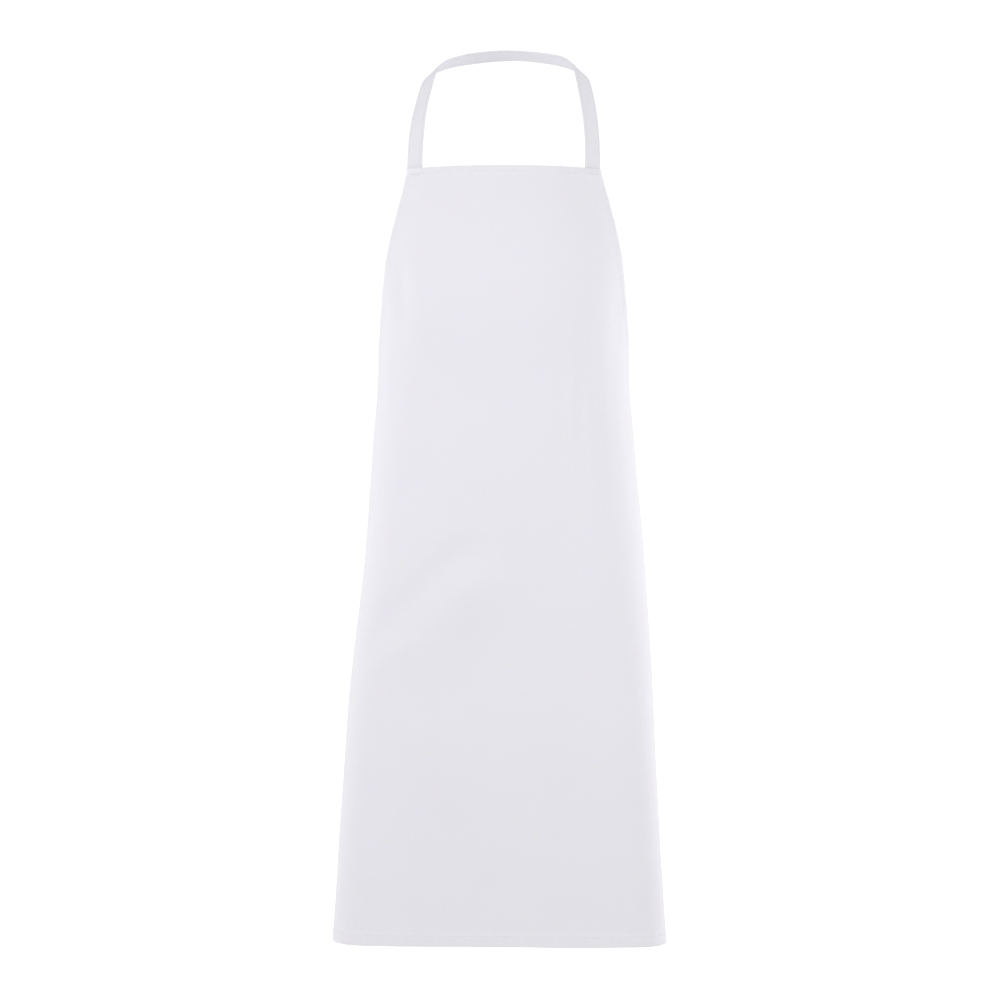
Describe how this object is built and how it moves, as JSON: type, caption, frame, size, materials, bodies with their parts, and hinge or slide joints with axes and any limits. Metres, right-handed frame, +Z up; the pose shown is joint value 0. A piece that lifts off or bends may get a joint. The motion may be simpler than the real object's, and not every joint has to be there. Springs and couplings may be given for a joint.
{
  "type": "butcher apron",
  "caption": "White full-length bib apron in its worn shape: hemmed wrap-round panel, fixed neck strap and waist ties tied in a bow behind.",
  "frame": {"origin": "middle of the neck strap's inner face at the back of the neck, where the apron hangs", "axes": "+Z up, +X towards the wearer's left, -Y the way the wearer faces; _left and _right in names are the wearer's"},
  "size_m": [0.4288, 0.2504, 1.1733],
  "materials": {
    "apron_cloth": "bleached white polyester-cotton twill, matt, fine weave",
    "strap_cloth": "the same twill folded and edge-stitched into a strap",
    "thread": "white spun polyester sewing thread"
  },
  "bodies": {
    "apron": {"apron_panel": "apron_cloth", "bib_top_hem": "apron_cloth", "bottom_hem": "apron_cloth", "armhole_hem_left": "apron_cloth", "armhole_hem_right": "apron_cloth", "side_hem_left": "apron_cloth", "side_hem_right": "apron_cloth", "neck_strap_end_left": "strap_cloth", "neck_strap_end_right": "strap_cloth", "waist_tie_left": "strap_cloth", "waist_tie_right": "strap_cloth", "bow_knot": "strap_cloth", "bib_top_stitching": "thread", "bottom_stitching": "thread", "armhole_stitching_left": "thread", "armhole_stitching_right": "thread", "side_stitching_left": "thread", "side_stitching_right": "thread", "neck_bartack_left": "thread", "neck_bartack_right": "thread", "waist_bartack_left": "thread", "waist_bartack_right": "thread"},
    "neck_loop": {"neck_strap": "strap_cloth", "neck_strap_stitching_outer": "thread", "neck_strap_stitching_inner": "thread"},
    "loop_left": {"bow_loop_left": "strap_cloth"},
    "loop_right": {"bow_loop_right": "strap_cloth"},
    "tail_left": {"tie_tail_left": "strap_cloth"},
    "tail_right": {"tie_tail_right": "strap_cloth"}
  },
  "joints": [
    {"name": "neck_strap_fold", "type": "hinge", "parent": "apron", "child": "neck_loop", "pos_m": [-0.0017, -0.14563, -0.16579], "axis": [1, 0, 0], "range_deg": [0, 180]},
    {"name": "bow_loop_left_lift", "type": "hinge", "parent": "apron", "child": "loop_left", "pos_m": [-0.0018, 0.03238, -0.47779], "axis": [0, -1, 0], "range_deg": [0, 45]},
    {"name": "bow_loop_right_lift", "type": "hinge", "parent": "apron", "child": "loop_right", "pos_m": [-0.0018, 0.03238, -0.47779], "axis": [0, 1, 0], "range_deg": [0, 45]},
    {"name": "tie_tail_left_swing", "type": "hinge", "parent": "apron", "child": "tail_left", "pos_m": [-0.0018, 0.03388, -0.49099], "axis": [1, 0, 0], "range_deg": [0, 80]},
    {"name": "tie_tail_right_swing", "type": "hinge", "parent": "apron", "child": "tail_right", "pos_m": [-0.0018, 0.03388, -0.49099], "axis": [1, 0, 0], "range_deg": [0, 80]}
  ]
}
